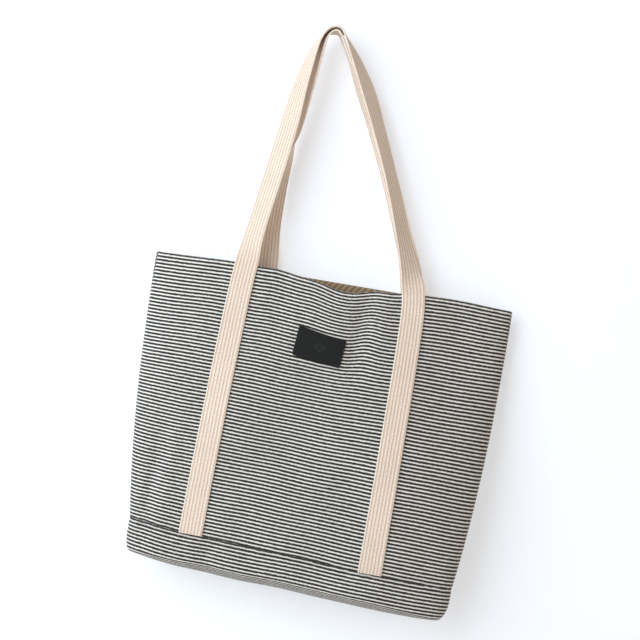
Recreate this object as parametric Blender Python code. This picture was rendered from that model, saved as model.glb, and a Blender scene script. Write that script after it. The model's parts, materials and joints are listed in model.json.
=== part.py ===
"""A lined canvas tote bag that folds, hanging by its two webbing handles.

Metres, +Z up, front towards -Y. Every shape is first worked out in the bag's own axes, whose
zero is the middle of the top edge, and is then moved so that the origin is the hang point:
the underside of the handles' apex. The lower third folds up behind the upper part.
"""

import math

import bmesh
import bpy
import numpy as np
from mathutils import Vector

# Body of the bag
HEIGHT = 0.390
TOP_HALF_WIDTH = 0.2280
BASE_HALF_WIDTH = 0.2040
BASE_SHIFT = 0.008  # the base hangs a little to the right of the mouth
TAPER = 2.2  # the sides draw in slowly at first, then faster towards the base
MOUTH_DEPTH = 0.027
BASE_DEPTH = 0.070
BACK_Y = 0.016  # the back wall is flat here
SEAM_TO_BACK_TOP = 0.0045  # the side seams start almost on the back wall and end half way
SEAM_TO_BACK_BASE = BASE_DEPTH / 2
BASE_SEAM_Z = -0.345
BASE_ROUNDING = 0.028
ROUNDING_STEPS = 5
FOLD_Z = -0.260
FOLD_AXIS_BEHIND_BACK = 0.0055  # the lower part turns up about a line just behind the straps

# The front top edge hangs from the straps: (place along X, height, half width) of each rise or dip
EDGE_LEVEL = -0.002
EDGE_WAVES = ((-0.110, 0.0046, 0.062), (0.018, -0.007, 0.045), (0.105, 0.004, 0.035))
EDGE_FADES_AT = -0.240

# Layers, counted inwards from the outer surface
CANVAS = 0.0010
ALLOWANCE = (0.0014, 0.0022)
LINING = (0.0026, 0.0033)
HEM_SIDE_GAP = 0.015  # the hem and the lining stop short of the side seams
LINING_SIDE_GAP = 0.024
BASE_LINING_SIDE_GAP = 0.006
BELOW_EDGE = 0.0015  # the lining and the hem start this far under the top edge
HEM_END_Z = -0.022
GAP = 0.0004

# Seam allowances folded inside
SIDE_SEAM_INSIDE = (0.0055, 0.0135)  # from the bag's edge inwards
SIDE_SEAM_HALF_THICKNESS = 0.0005
SIDE_SEAM_TOP_Z = -0.003
SIDE_SEAM_END_Z = BASE_SEAM_Z + 0.010
BASE_SEAM_BAND = (BASE_SEAM_Z - 0.002, BASE_SEAM_Z - 0.014)
BASE_SEAM_SIDE_GAP = 0.001

# Webbing
WEB_WIDTH = 0.030
WEB_THICKNESS = 0.0024
STRAPS = {  # X of each sewn strap at the top edge and at the base seam
    "front_strap_left": (-0.113, -0.121),
    "front_strap_right": (0.099, 0.110),
    "rear_strap_left": (-0.089, -0.097),
    "rear_strap_right": (0.0985, 0.108),
}
HINGE_CLEARANCE = 0.0022  # hinge line to the webbing's middle
STRAP_TOP_Z = -0.0012

# Handle routes: X, Y, Z in mm, and the turn of the webbing's width in degrees, from +X towards -Y
FRONT_ROUTE = (
    (-113, -9.2, 1.5, 0), (-113, -9.3, 9, 3), (-109, -9.3, 49, 25), (-100, -8.9, 115, 31),
    (-92, -8.0, 181, 38), (-85.5, -5.8, 232, 48), (-77.5, -2.6, 279, 66), (-69.5, -0.6, 299, 79),
    (-62.6, 0.6, 310.8, 87), (-54, 1, 315.0, 90), (-45.6, 0.6, 311.2, 93), (-36.5, -0.6, 299, 105),
    (-22.5, -2.6, 278, 119), (-2, -5.8, 243, 132), (18.5, -8.0, 201, 136), (46, -8.9, 141, 137),
    (70, -9.3, 82, 140), (86, -9.3, 42, 147), (98.5, -9.3, 9, 176), (99, -9.2, 1.5, 180),
)
REAR_ROUTE = (
    (-89, 17.7, 1.5, 180), (-89.5, 17.7, 9, 176), (-93, 18.2, 54, 152), (-94, 18.6, 115, 143),
    (-90, 17.6, 181, 128), (-80.5, 14, 232, 112), (-68.5, 7.0, 279, 96), (-62, 4.6, 299, 92),
    (-58.8, 3.2, 307.4, 91), (-54, 3, 310.6, 90), (-49.4, 3.2, 307.8, 89), (-43.5, 4.4, 299, 89),
    (-31, 6.6, 278, 88), (-9.5, 13.6, 243, 66), (15.5, 17.6, 201, 54), (45.5, 19, 141, 48),
    (71, 18.8, 82, 44), (88, 18.2, 42, 34), (98, 17.7, 9, 4), (98.5, 17.7, 1.5, 0),
)
ROUTE_STATIONS = 56

# Leather label
LABEL_SIZE = (0.061, 0.037)
LABEL_CENTRE = (-0.004, -0.0815)
LABEL_TILT = math.radians(4)
LABEL_THICKNESS = 0.0018
THREAD = 0.0006
THREAD_INSET = 0.0032

APEX_X = -0.054
HANG_Y = 0.002
HANG_Z = 0.310600 - WEB_THICKNESS / 2
ORIGIN = Vector((APEX_X, HANG_Y, HANG_Z))
FOLD_LINE = Vector((BASE_SHIFT, BACK_Y + FOLD_AXIS_BEHIND_BACK, FOLD_Z))

# How finely each shape is cut
WALL_COLUMNS = 22
BASE_COLUMNS = 18
LABEL_COLUMNS = 6
LABEL_ROWS = 3

LOOKS = {  # colour, roughness
    "canvas": ((0.30, 0.30, 0.29, 1), 0.85),
    "webbing": ((0.80, 0.66, 0.54, 1), 0.8),
    "lining": ((0.40, 0.34, 0.22, 1), 0.85),
    "leather": ((0.02, 0.02, 0.02, 1), 0.5),
    "thread": ((0.05, 0.05, 0.05, 1), 0.7),
}


def mix(low, high, share):
    return low + (high - low) * share


def section(z):
    """The plan of the bag at height z: centre, half width, seam line, depth before and behind it, powers."""
    down = min(1.0, max(0.0, z / BASE_SEAM_Z))
    bulge = math.sin(down * math.pi / 2)
    seam_to_back = mix(SEAM_TO_BACK_TOP, SEAM_TO_BACK_BASE, down**1.6)
    depth = mix(MOUTH_DEPTH, BASE_DEPTH, bulge)
    return {
        "centre": BASE_SHIFT * down,
        "half": mix(TOP_HALF_WIDTH, BASE_HALF_WIDTH, down**TAPER),
        "seam_y": BACK_Y - seam_to_back,
        "front": depth - seam_to_back,
        "back": seam_to_back,
        "front_power": mix(1.5, 5.0, down),
        "back_power": mix(6.0, 5.0, down),
        "side_share": mix(3.0, 1.2, down),
    }


def unit_point(angle, power):
    """The point of a unit superellipse in the direction of this angle."""
    c, s = math.cos(angle), math.sin(angle)
    r = (abs(c) ** power + abs(s) ** power) ** (-1 / power)
    return r * c, r * s


def wall_angles(side, z, columns):
    """Angles that cut one wall at height z into equal lengths of cloth, from the left seam to the right."""
    plan = section(z)
    least = 0.0004 / plan[side]
    angles = np.linspace(math.pi - least, least, 700)
    units = [unit_point(a, plan[side + "_power"]) for a in angles]
    flat = np.array([(plan["half"] * c, plan[side] * s) for c, s in units])
    run = np.concatenate([[0], np.cumsum(np.linalg.norm(np.diff(flat, axis=0), axis=1))])
    return np.interp(np.linspace(0, run[-1], columns + 1), run, angles)


def wall_point(side, angle, z, inset, side_inset=None):
    """A point of the front or back wall, this far inside the outer surface."""
    plan = section(z)
    if side_inset is None:
        side_inset = inset * plan["side_share"]
    c, s = unit_point(angle, plan[side + "_power"])
    away = -1 if side == "front" else 1
    x = plan["centre"] + (plan["half"] - side_inset) * c
    return Vector((x, plan["seam_y"] + away * (plan[side] - inset) * s, z))


def edge_lift(side, x, z):
    """How far the front cloth is raised or dropped here by hanging from its two straps."""
    if side == "back" or z <= EDGE_FADES_AT:
        return 0.0
    waves = sum(size * math.exp(-(((x - at) / spread) ** 2)) for at, size, spread in EDGE_WAVES)
    return (EDGE_LEVEL + waves) * (1 - z / EDGE_FADES_AT) ** 2


def surface_point(side, x, z, out):
    """The point of a wall at this X, this far outside it."""
    plan = section(z)
    power = plan[side + "_power"]
    u = abs(x - plan["centre"]) / plan["half"]
    away = -1 if side == "front" else 1
    y = plan["seam_y"] + away * (plan[side] * (1 - u**power) ** (1 / power) + out)
    return Vector((x, y, z + edge_lift(side, x, z)))


def level_point(side, x, z, out):
    """The same, at exactly this height once the cloth there has been raised or dropped."""
    before = z
    for _ in range(12):
        before = z - edge_lift(side, x, before)
    return surface_point(side, x, before, out)


def make_object(name, look, verts, faces, pivot=None):
    """An object of these points, in the bag's axes, with its origin at the pivot or the hang point."""
    pivot = pivot or ORIGIN
    mesh = bpy.data.meshes.new(name)
    mesh.from_pydata([Vector(v) - pivot for v in verts], [], faces)
    bm = bmesh.new()
    bm.from_mesh(mesh)
    bmesh.ops.recalc_face_normals(bm, faces=bm.faces)
    bm.to_mesh(mesh)
    bm.free()
    obj = bpy.data.objects.new(name, mesh)
    obj.location = pivot - ORIGIN
    obj.data.materials.append(material(name, look))
    bpy.context.scene.collection.objects.link(obj)
    return obj


def material(name, look):
    colour, roughness = LOOKS[look]
    made = bpy.data.materials.new(name)
    made.use_nodes = True
    shader = made.node_tree.nodes["Principled BSDF"]
    shader.inputs["Base Color"].default_value = colour
    shader.inputs["Roughness"].default_value = roughness
    made.diffuse_color = colour
    return made


def slab(name, look, outer, inner, pivot=None):
    """A closed sheet between two grids of points with the same rows and columns."""
    rows, columns = len(outer), len(outer[0])
    verts = [p for grid in (outer, inner) for row in grid for p in row]
    back = rows * columns

    def at(r, c, layer):
        return layer * back + r * columns + c

    faces = []
    for r in range(rows - 1):
        for c in range(columns - 1):
            faces.append((at(r, c, 0), at(r, c + 1, 0), at(r + 1, c + 1, 0), at(r + 1, c, 0)))
            faces.append((at(r, c, 1), at(r + 1, c, 1), at(r + 1, c + 1, 1), at(r, c + 1, 1)))
    rim = [(0, c) for c in range(columns - 1)]
    rim += [(r, columns - 1) for r in range(rows - 1)]
    rim += [(rows - 1, c) for c in range(columns - 1, 0, -1)]
    rim += [(r, 0) for r in range(rows - 1, 0, -1)]
    for here, after in zip(rim, rim[1:] + rim[:1]):
        faces.append((at(*here, 0), at(*here, 1), at(*after, 1), at(*after, 0)))
    return make_object(name, look, verts, faces, pivot)


def ring_slab(name, look, outer, inner, closed_floor, pivot):
    """A closed shell between two stacks of rings. With a closed floor it is a tub, else a band."""
    rows, count = len(outer), len(outer[0])
    verts = [p for stack in (outer, inner) for ring in stack for p in ring]
    layer = rows * count
    faces = []
    for r in range(rows - 1):
        for c in range(count):
            d = (c + 1) % count
            a, b, e, f = r * count + c, r * count + d, (r + 1) * count + d, (r + 1) * count + c
            faces += [(a, b, e, f), (layer + a, layer + f, layer + e, layer + b)]
    for c in range(count):
        d = (c + 1) % count
        faces.append((c, layer + c, layer + d, d))
    last = (rows - 1) * count
    if closed_floor:
        faces.append([last + c for c in range(count)])
        faces.append([layer + last + c for c in reversed(range(count))])
    else:
        for c in range(count):
            d = (c + 1) % count
            faces.append((last + c, last + d, layer + last + d, layer + last + c))
    return make_object(name, look, verts, faces, pivot)


def wall_grid(side, z_top, z_end, rows, columns, inset, side_inset=None):
    grid = []
    for r in range(rows + 1):
        z = mix(z_top, z_end, r / rows)
        row = [wall_point(side, a, z, inset, side_inset) for a in wall_angles(side, z, columns)]
        for p in row:
            p.z += edge_lift(side, p.x, z)
        grid.append(row)
    return grid


def stretches(top, end, upper_rows, lower_rows):
    """The two lengths of whatever crosses the fold: name, top, end, rows and where its origin goes."""
    yield "upper", top, FOLD_Z + GAP, upper_rows, ORIGIN
    yield "lower", FOLD_Z - GAP, end, lower_rows, FOLD_LINE


def build_walls():
    """Canvas, lining and top hem of the front and the back, in an upper and a lower stretch."""
    for side in ("front", "back"):
        for stretch, top, end, rows, pivot in stretches(0.0, BASE_SEAM_Z + GAP, 9, 3):
            layers = [wall_grid(side, top, end, rows, WALL_COLUMNS, inset) for inset in (0, CANVAS)]
            slab(f"{side}_panel_{stretch}", "canvas", *layers, pivot)
        for stretch, top, end, rows, pivot in stretches(-BELOW_EDGE, BASE_SEAM_Z + GAP, 9, 3):
            layers = [
                wall_grid(side, top, end, rows, WALL_COLUMNS, inset, LINING_SIDE_GAP + inset)
                for inset in LINING
            ]
            slab(f"{side}_lining_{stretch}", "lining", *layers, pivot)
        layers = [
            wall_grid(side, -BELOW_EDGE, HEM_END_Z, 2, WALL_COLUMNS, inset, HEM_SIDE_GAP + inset)
            for inset in ALLOWANCE
        ]
        slab(f"{side}_top_hem", "canvas", *layers)


def base_ring(z, inset, rounding, side_inset=None):
    """One ring of the boxed base: the section pulled in all round by the rounding."""
    ring = []
    for side in ("front", "back"):
        angles = list(wall_angles(side, BASE_SEAM_Z, BASE_COLUMNS))
        if side == "back":
            angles.reverse()
        side_gap = (inset if side_inset is None else side_inset) + rounding
        for angle in angles:
            p = wall_point(side, angle, BASE_SEAM_Z, inset + rounding, side_gap)
            p.z = z
            ring.append(p)
    return ring


def base_rings(top_z, inset, side_inset=None):
    """Rings from the base seam down the wall, round the bottom edge and onto the flat floor."""
    centre_z = -HEIGHT + BASE_ROUNDING
    radius = BASE_ROUNDING - inset
    rings = [base_ring(top_z, inset, 0, side_inset)]
    for step in range(ROUNDING_STEPS + 1):
        turn = step / ROUNDING_STEPS * math.pi / 2
        z = centre_z - radius * math.sin(turn)
        rings.append(base_ring(z, inset, radius * (1 - math.cos(turn)), side_inset))
    return rings


def build_base():
    top = BASE_SEAM_Z - GAP
    ring_slab("base_panel", "canvas", base_rings(top, 0), base_rings(top, CANVAS), True, FOLD_LINE)
    lining = [base_rings(top, inset, BASE_LINING_SIDE_GAP + inset) for inset in LINING]
    ring_slab("base_lining", "lining", *lining, True, FOLD_LINE)
    band = [
        [base_ring(z, inset, 0, inset + BASE_SEAM_SIDE_GAP) for z in BASE_SEAM_BAND]
        for inset in ALLOWANCE
    ]
    ring_slab("base_seam", "canvas", *band, False, FOLD_LINE)


def seam_row(sign, z, aside):
    """Two points across a side seam's allowance, this far in front of or behind the seam line."""
    plan = section(z)
    edge = plan["centre"] + sign * plan["half"]
    return [Vector((edge - sign * inside, plan["seam_y"] + aside, z)) for inside in SIDE_SEAM_INSIDE]


def build_side_seams():
    """The folded allowance inside each side, between canvas and lining."""
    for side, sign in (("left", -1), ("right", 1)):
        for stretch, top, end, rows, pivot in stretches(SIDE_SEAM_TOP_Z, SIDE_SEAM_END_Z, 8, 3):
            layers = [
                [seam_row(sign, mix(top, end, r / rows), aside) for r in range(rows + 1)]
                for aside in (-SIDE_SEAM_HALF_THICKNESS, SIDE_SEAM_HALF_THICKNESS)
            ]
            slab(f"{side}_side_seam_{stretch}", "canvas", *layers, pivot)


def strap_x(name, z):
    top, base = STRAPS[name]
    return mix(top, base, z / BASE_SEAM_Z)


def build_sewn_straps():
    """The four straps that are sewn flat on the walls, from the top edge to the base seam."""
    across = (-WEB_WIDTH / 2, 0, WEB_WIDTH / 2)
    for name in STRAPS:
        side = "front" if name.startswith("front") else "back"
        for stretch, top, end, rows, pivot in stretches(STRAP_TOP_Z, BASE_SEAM_Z, 9, 3):
            layers = []
            for out in (GAP, GAP + WEB_THICKNESS):
                grid = []
                for r in range(rows + 1):
                    z = mix(top, end, r / rows)
                    x = strap_x(name, z)
                    place = level_point if z == STRAP_TOP_Z else surface_point
                    grid.append([place(side, x + w, z, out) for w in across])
                layers.append(grid)
            slab(f"{name}_{stretch}", "webbing", *layers, pivot)


def smooth_route(route, stations):
    """Points along a Catmull-Rom curve through the route, evenly spaced."""
    knots = np.array(route, float)
    knots = np.vstack([2 * knots[0] - knots[1], knots, 2 * knots[-1] - knots[-2]])
    dense = []
    for i in range(1, len(knots) - 2):
        p, q, r, s = knots[i - 1 : i + 3]
        for t in np.linspace(0, 1, 24, endpoint=False):
            turn = 3 * (q - r) + s - p
            dense.append(q + 0.5 * t * (r - p + t * (2 * p - 5 * q + 4 * r - s + t * turn)))
    dense = np.array(dense + [knots[-2]])
    steps = np.linalg.norm(np.diff(dense[:, :3], axis=0), axis=1)
    run = np.concatenate([[0], np.cumsum(steps)])
    wanted = np.linspace(0, run[-1], stations)
    return np.column_stack([np.interp(wanted, run, dense[:, k]) for k in range(4)])


def build_handle(name, route, hinge):
    """Webbing swept along its route, turning from flat on the wall to flat on the peg and back."""
    path = smooth_route(route, ROUTE_STATIONS)
    points = path[:, :3] / 1000
    tangents = np.gradient(points, axis=0)
    outer, inner = [], []
    for point, tangent, turn in zip(points, tangents, np.radians(path[:, 3])):
        along = Vector(tangent).normalized()
        across = Vector((math.cos(turn), -math.sin(turn), 0))
        across = (across - across.dot(along) * along).normalized()
        inward = along.cross(across)
        middle = Vector(point)
        for grid, half in ((outer, -WEB_THICKNESS / 2), (inner, WEB_THICKNESS / 2)):
            sides = (-WEB_WIDTH / 2, WEB_WIDTH / 2)
            grid.append([middle + across * w + inward * half for w in sides])
    return slab(name, "webbing", outer, inner, hinge)


def hinge_point(route, away):
    """The line that a handle flops about: along the top edge, just outside the webbing."""
    return Vector((APEX_X, route[0][1] / 1000 + away * HINGE_CLEARANCE, 0))


def label_point(along, up, out):
    """A point of the label's face: along and up are measured from its centre, in its own tilt."""
    c, s = math.cos(LABEL_TILT), math.sin(LABEL_TILT)
    x = LABEL_CENTRE[0] + along * c + up * s
    z = LABEL_CENTRE[1] - along * s + up * c
    return surface_point("front", x, z, out)


def label_face(out):
    """A grid over the whole label, this far outside the wall."""
    half_long, half_tall = LABEL_SIZE[0] / 2, LABEL_SIZE[1] / 2
    ups = np.linspace(half_tall, -half_tall, LABEL_ROWS + 1)
    alongs = np.linspace(-half_long, half_long, LABEL_COLUMNS + 1)
    return [[label_point(along, up, out) for along in alongs] for up in ups]


def label_ring(inset, out):
    """A rectangle of points inside the label's edge."""
    corners = ((-1, 1), (1, 1), (1, -1), (-1, -1))
    ring = []
    for start, end in zip(corners, corners[1:] + corners[:1]):
        for step in range(LABEL_COLUMNS):
            share = step / LABEL_COLUMNS
            along = mix(start[0], end[0], share) * (LABEL_SIZE[0] / 2 - inset)
            up = mix(start[1], end[1], share) * (LABEL_SIZE[1] / 2 - inset)
            ring.append(label_point(along, up, out))
    return ring


def build_label():
    """The leather patch and the line of stitching that goes round it."""
    slab("leather_label", "leather", label_face(GAP), label_face(GAP + LABEL_THICKNESS))
    low, high = 2 * GAP + LABEL_THICKNESS, 2 * GAP + LABEL_THICKNESS + THREAD
    outside, inside = THREAD_INSET, THREAD_INSET + THREAD
    loop = [label_ring(*at) for at in ((outside, low), (inside, low), (inside, high), (outside, high))]
    count = len(loop[0])
    faces = []
    for k in range(4):
        here, after = k * count, (k + 1) % 4 * count
        for c in range(count):
            d = (c + 1) % count
            faces.append((here + c, here + d, after + d, after + c))
    make_object("label_stitching", "thread", [p for ring in loop for p in ring], faces)


def main():
    for obj in list(bpy.data.objects):
        bpy.data.objects.remove(obj)
    build_walls()
    build_base()
    build_side_seams()
    build_sewn_straps()
    build_handle("front_handle", FRONT_ROUTE, hinge_point(FRONT_ROUTE, -1))
    build_handle("rear_handle", REAR_ROUTE, hinge_point(REAR_ROUTE, 1))
    build_label()


main()
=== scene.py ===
"""The looks of the foldable tote bag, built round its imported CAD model.

Shapes are worked out in the bag's own axes, in metres: X to the right and Z up from the middle
of the top edge, and the front towards -Y. to_frame() moves them into the shared frame.
"""

import json
import math

import bmesh
import bpy
import numpy as np
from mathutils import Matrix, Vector

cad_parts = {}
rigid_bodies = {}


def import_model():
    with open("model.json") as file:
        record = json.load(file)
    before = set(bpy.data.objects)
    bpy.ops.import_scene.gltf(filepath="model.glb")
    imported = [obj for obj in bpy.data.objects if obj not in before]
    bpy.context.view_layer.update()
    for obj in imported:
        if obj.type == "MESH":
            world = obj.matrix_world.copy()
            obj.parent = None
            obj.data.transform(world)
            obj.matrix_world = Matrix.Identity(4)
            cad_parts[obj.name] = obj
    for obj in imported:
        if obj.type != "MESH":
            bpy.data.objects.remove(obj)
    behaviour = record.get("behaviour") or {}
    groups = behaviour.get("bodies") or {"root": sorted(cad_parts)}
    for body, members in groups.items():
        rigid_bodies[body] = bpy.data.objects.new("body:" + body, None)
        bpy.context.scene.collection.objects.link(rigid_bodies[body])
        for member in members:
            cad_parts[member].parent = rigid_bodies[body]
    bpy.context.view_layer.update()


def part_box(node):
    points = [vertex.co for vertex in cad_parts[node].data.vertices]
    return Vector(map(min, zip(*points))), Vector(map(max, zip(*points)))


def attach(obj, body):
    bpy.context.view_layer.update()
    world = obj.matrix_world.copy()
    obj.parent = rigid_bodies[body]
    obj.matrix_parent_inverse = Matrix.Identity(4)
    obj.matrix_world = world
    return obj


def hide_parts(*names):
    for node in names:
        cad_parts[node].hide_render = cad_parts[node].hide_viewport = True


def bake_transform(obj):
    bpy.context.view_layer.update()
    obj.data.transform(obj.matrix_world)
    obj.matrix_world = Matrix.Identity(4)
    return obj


for old in list(bpy.data.objects):
    bpy.data.objects.remove(old)
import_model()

MM = 0.001
UPPER, LOWER = "bag_upper", "bag_lower"

# ---- Places read from the frame -------------------------------------------------------------
BACK_LOW, BACK_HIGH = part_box("back_panel_upper")
BASE_LOW, BASE_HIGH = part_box("base_panel")
BACK_Y = 16 * MM  # the back wall's place in the bag's own axes
ZERO = np.array([(BACK_LOW.x + BACK_HIGH.x) / 2, BACK_HIGH.y - BACK_Y, BACK_HIGH.z])
BASE_SEAM_Z = BASE_HIGH.z - BACK_HIGH.z
BASE_Z = BASE_LOW.z - BACK_HIGH.z
BASE_DEPTH = BASE_HIGH.y - BASE_LOW.y

# ---- The bag's section, as in the CAD ---------------------------------------------------------
TOP_HALF_WIDTH = (BACK_HIGH.x - BACK_LOW.x) / 2
BASE_HALF_WIDTH = (BASE_HIGH.x - BASE_LOW.x) / 2
BASE_SHIFT = (BASE_HIGH.x + BASE_LOW.x) / 2 - ZERO[0]
MOUTH_DEPTH = 27 * MM
SEAM_TO_BACK_TOP = 4.5 * MM
BASE_ROUNDING = 28 * MM
TAPER = 2.2
EDGE_LEVEL = 1 * MM
EDGE_WAVES = (  # along X, height, half width, in mm
    (-125, 3.2, 60), (-74, 1.4, 14), (-40, -1.2, 14), (16, -11.5, 36), (72, -2.2, 18), (155, 2.3, 45),
)
TOP_LEAN = 0.0142  # the mouth rises to the right
BASE_LEAN = -0.034  # and the base seam drops to the right
BASE_LIFT = 5 * MM
CORNER_PULL = (0.30, 0.62)  # the left end of the base is squarer than the right
EDGE_FADES_AT = -0.240  # the front edge's waves die out down the wall by here

# Where the stripes fall: a shift, then a slope along the seam. They set a dark stripe on each side
# of the base seam, at a slight angle to each other.
SEAM_STRIPES = (1.0 * MM, 0.004)  # on the walls
BASE_STRIPES = (2.6 * MM, -0.002)  # on the base
SEAM_TUCK = 1.9 * MM  # how far the cloth draws in at the base seam
SEAM_TUCK_REACH = 1.6 * MM

# ---- Webbing ----------------------------------------------------------------------------------
WEB_WIDTH = 29.2 * MM
WEB_THICKNESS = 2.4 * MM
RIBS = 7
RIB_HEIGHT = 0.42 * MM
STRAPS = {  # along X at the top and at the base seam, then the bend at the top and its depth, in mm
    "front_left": (-115.2, -117.5, 2.6, 40), "front_right": (103.6, 106.2, -3.8, 17),
    "rear_left": (-91, -97, 2, 30), "rear_right": (103, 108, -3.2, 20),
}
SEWN_TOP_Z = -14 * MM  # each handle piece starts here, on the wall, and bends off it
WALL_TO_WEB = 0.35 * MM
SEWN_TO_FREE = 70 * MM  # the free webbing comes round to the sewn strap's line over this length
SEWN_TO_FREE_TURN = 30 * MM  # and to its direction across over this one
# The handles' middle lines: X, Y and Z in mm, then the turn of the webbing about Z in degrees
FRONT_ROUTE = (
    (-113, -9.2, 1.5, 8), (-112.4, -9.3, 9, 20), (-108.5, -9.3, 49, 34), (-100, -8.9, 115, 35),
    (-92, -8.0, 181, 38), (-87, -5.8, 232, 51), (-79.8, -2.6, 279, 67), (-73, -0.6, 299, 80),
    (-64.5, 0.6, 310.8, 87), (-54, 1, 315.0, 90), (-45.6, 0.6, 311.2, 93), (-36.5, -0.6, 299, 105),
    (-22.5, -2.6, 278, 119), (-2, -5.8, 243, 131), (18.5, -8.0, 201, 128), (46, -8.9, 141, 126),
    (70, -9.3, 82, 131), (86, -9.3, 42, 145), (97.4, -9.3, 9, 165), (99, -9.2, 1.5, 173),
)
REAR_ROUTE = (
    (-89, 17.7, 1.5, 180), (-89.5, 17.7, 9, 176), (-93, 18.2, 54, 152), (-92, 17.8, 115, 136),
    (-84.5, 12.5, 150, 100), (-80.2, 8.5, 181, 74), (-75.2, 4.5, 232, 70), (-71.1, 2.0, 279, 70),
    (-68.4, 1.5, 299, 71), (-62.4, 2.4, 307.6, 77), (-54, 3, 310.6, 90), (-49.4, 3.2, 307.8, 89),
    (-43.5, 4.4, 299, 89), (-31, 6.6, 278, 88), (-9.5, 13.6, 243, 66), (15.5, 17.6, 201, 54),
    (45.5, 19, 141, 48),
    (71.6, 18.8, 82, 44), (88.6, 18.2, 42, 30), (98.3, 17.8, 9, 5), (99.6, 17.7, 1.5, 1),
)

# ---- Label ------------------------------------------------------------------------------------
LABEL_SIZE = (61 * MM, 38 * MM)
LABEL_CENTRE = (-4 * MM, -81.5 * MM)
LABEL_TILT = math.radians(4)
LABEL_THICKNESS = 1.8 * MM
LABEL_CORNER = 1.6 * MM
LABEL_GAP = 0.3 * MM  # between the wall and the label's underside
LABEL_SEAM_INSET = 2.6 * MM
LOZENGE = (8.5 * MM, 5.5 * MM)  # a generic pressed ornament: half length and half height
LOZENGE_LINES = (1.0, 0.55)  # its two outlines, as shares of that size

STRIPE = 4.5 * MM  # one dark and one light stripe


def to_frame(points):
    return np.asarray(points, float) + ZERO


def mix(low, high, share):
    return low + (high - low) * share


def ease(x):
    x = np.clip(x, 0, 1)
    return x * x * (3 - 2 * x)


def unit(vectors):
    return vectors / np.linalg.norm(vectors, axis=-1, keepdims=True)


def lengths_along(points):
    """The length of the line through these points, up to each of them."""
    return np.concatenate([[0], np.cumsum(np.linalg.norm(np.diff(points, axis=0), axis=1))])


# ---- The walls --------------------------------------------------------------------------------
def section(z):
    """The plan of the bag at height z: centre, half width, seam line, depths, powers."""
    down = np.clip(z / BASE_SEAM_Z, 0, 1)
    seam_to_back = mix(SEAM_TO_BACK_TOP, BASE_DEPTH / 2, down**1.6)
    depth = mix(MOUTH_DEPTH, BASE_DEPTH, np.sin(down * math.pi / 2))
    return {
        "centre": BASE_SHIFT * down,
        "half": mix(TOP_HALF_WIDTH, BASE_HALF_WIDTH, down**TAPER),
        "seam_y": BACK_Y - seam_to_back,
        "front": depth - seam_to_back,
        "back": seam_to_back,
        "front_power": mix(1.5, 5.0, down),
        "back_power": mix(6.0, 5.0, down),
    }


def unit_points(angles, power):
    c, s = np.cos(angles), np.sin(angles)
    r = (np.abs(c) ** power + np.abs(s) ** power) ** (-1 / power)
    return r * c, r * s


def away(side):
    return -1.0 if side == "front" else 1.0


def wall_row(side, z, shares, inset=0.0, side_inset=0.0):
    """Points round one wall at height z, at these shares of its cloth from the left, and their run."""
    plan = section(z)
    least = 0.3 * MM / plan[side]
    angles = np.linspace(math.pi - least, least, 900)
    c, s = unit_points(angles, plan[side + "_power"])
    steps = np.hypot(np.diff(plan["half"] * c), np.diff(plan[side] * s))
    run = np.concatenate([[0], np.cumsum(steps)])
    c, s = unit_points(np.interp(shares * run[-1], run, angles), plan[side + "_power"])
    left, right = side_inset if isinstance(side_inset, tuple) else (side_inset, side_inset)
    x = plan["centre"] + (plan["half"] - np.where(c < 0, left, right)) * c
    y = plan["seam_y"] + away(side) * (plan[side] - inset) * s
    return np.column_stack([x, y, np.full_like(x, z)]), (shares - 0.5) * run[-1]


def strap_x(name, z):
    top, base, bend, depth = STRAPS[name]
    z = np.minimum(z, 0)
    return (mix(top, base, z / BASE_SEAM_Z) + bend * np.exp(z / (depth * MM))) * MM


def waves(x, z, terms):
    """A sum of slow waves: each term is height in mm, wavelengths along X and Z in mm, and a phase."""
    total = 0.0
    for height, along, up, phase in terms:
        total = total + height * MM * np.sin(math.tau * (x / (along * MM) + z / (up * MM)) + phase)
    return total


def hollow(x, z, at, size, height):
    """A smooth dent or swelling: at and size in mm along X and Z, height in mm."""
    u = (x / MM - at[0]) / size[0]
    v = (z / MM - at[1]) / size[1]
    return height * MM * np.exp(-u * u - v * v)


SLOW_OUT = ((0.9, 210, 520, 0.4), (0.6, -130, 260, 2.1), (0.35, 75, 140, 4.4))
SLOW_UP = ((0.45, 190, 400, 1.2), (0.3, 96, -230, 3.4))
BACK_CALMER = 0.35  # the back wall hangs flatter than the front
FRONT_HOLLOWS = (  # middle and size along X and Z, then how far out, all in mm
    ((44, -38), (11, 66), -3.6), ((68, -52), (13, 74), 2.4), ((16, -20), (24, 34), 1.6),
    ((-62, -38), (14, 60), -1.6), ((-176, -285), (9, 70), -4.0), ((-158, -270), (10, 80), 2.8),
    ((158, -60), (20, 90), -1.5), ((114, -225), (46, 175), 7.0), ((-92, -366), (13, 24), -3.4),
    ((-80, -316), (15, 34), 2.6), ((40, -376), (26, 18), -1.6), ((28, -215), (32, 160), 2.0),
)


def out_of_wall(side, x, z):
    """How far the hanging cloth stands out from the CAD's smooth wall."""
    if side == "back":
        return BACK_CALMER * waves(x, z, SLOW_OUT)
    total = waves(x, z, SLOW_OUT)
    for at, size, height in FRONT_HOLLOWS:
        total = total + hollow(x, z, at, size, height)
    edge = 0.0  # small puckers along the straps' seams
    for name in ("front_left", "front_right"):
        beside = np.abs(x - strap_x(name, z)) - WEB_WIDTH / 2
        near = np.exp(-np.clip(beside, 0, None) / (7 * MM)) * (beside > 0)
        beat = np.sin(math.tau * z / (17 * MM) + 2.2 * np.sin(z / (31 * MM)))
        edge = edge + 0.32 * MM * near * beat
    return total + edge


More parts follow.
